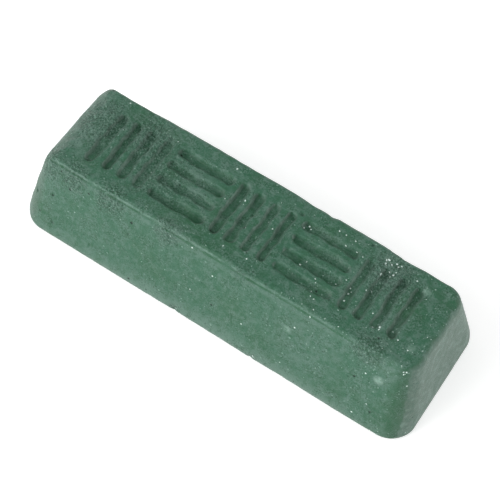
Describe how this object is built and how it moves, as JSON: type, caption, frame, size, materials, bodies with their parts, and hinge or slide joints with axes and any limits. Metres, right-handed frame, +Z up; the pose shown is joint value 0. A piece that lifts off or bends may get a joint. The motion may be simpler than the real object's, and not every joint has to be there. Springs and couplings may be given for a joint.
{
  "type": "buffing compound bar",
  "caption": "Small green block of wax-bound polishing abrasive, cast in an open mould, with plain sunk bars on its moulded face; rubbed onto a buffing wheel or strop to charge it.",
  "frame": {"origin": "middle of the poured face that the bar lies on, level with that face's flat rim", "axes": "+X along the bar's length, +Y across it and +Z up, from the poured face to the moulded face with the sunk bars"},
  "size_m": [0.08, 0.028, 0.0175],
  "materials": {
    "compound": "matte"
  },
  "bodies": {
    "root": {"compound_bar": "compound"}
  },
  "joints": []
}
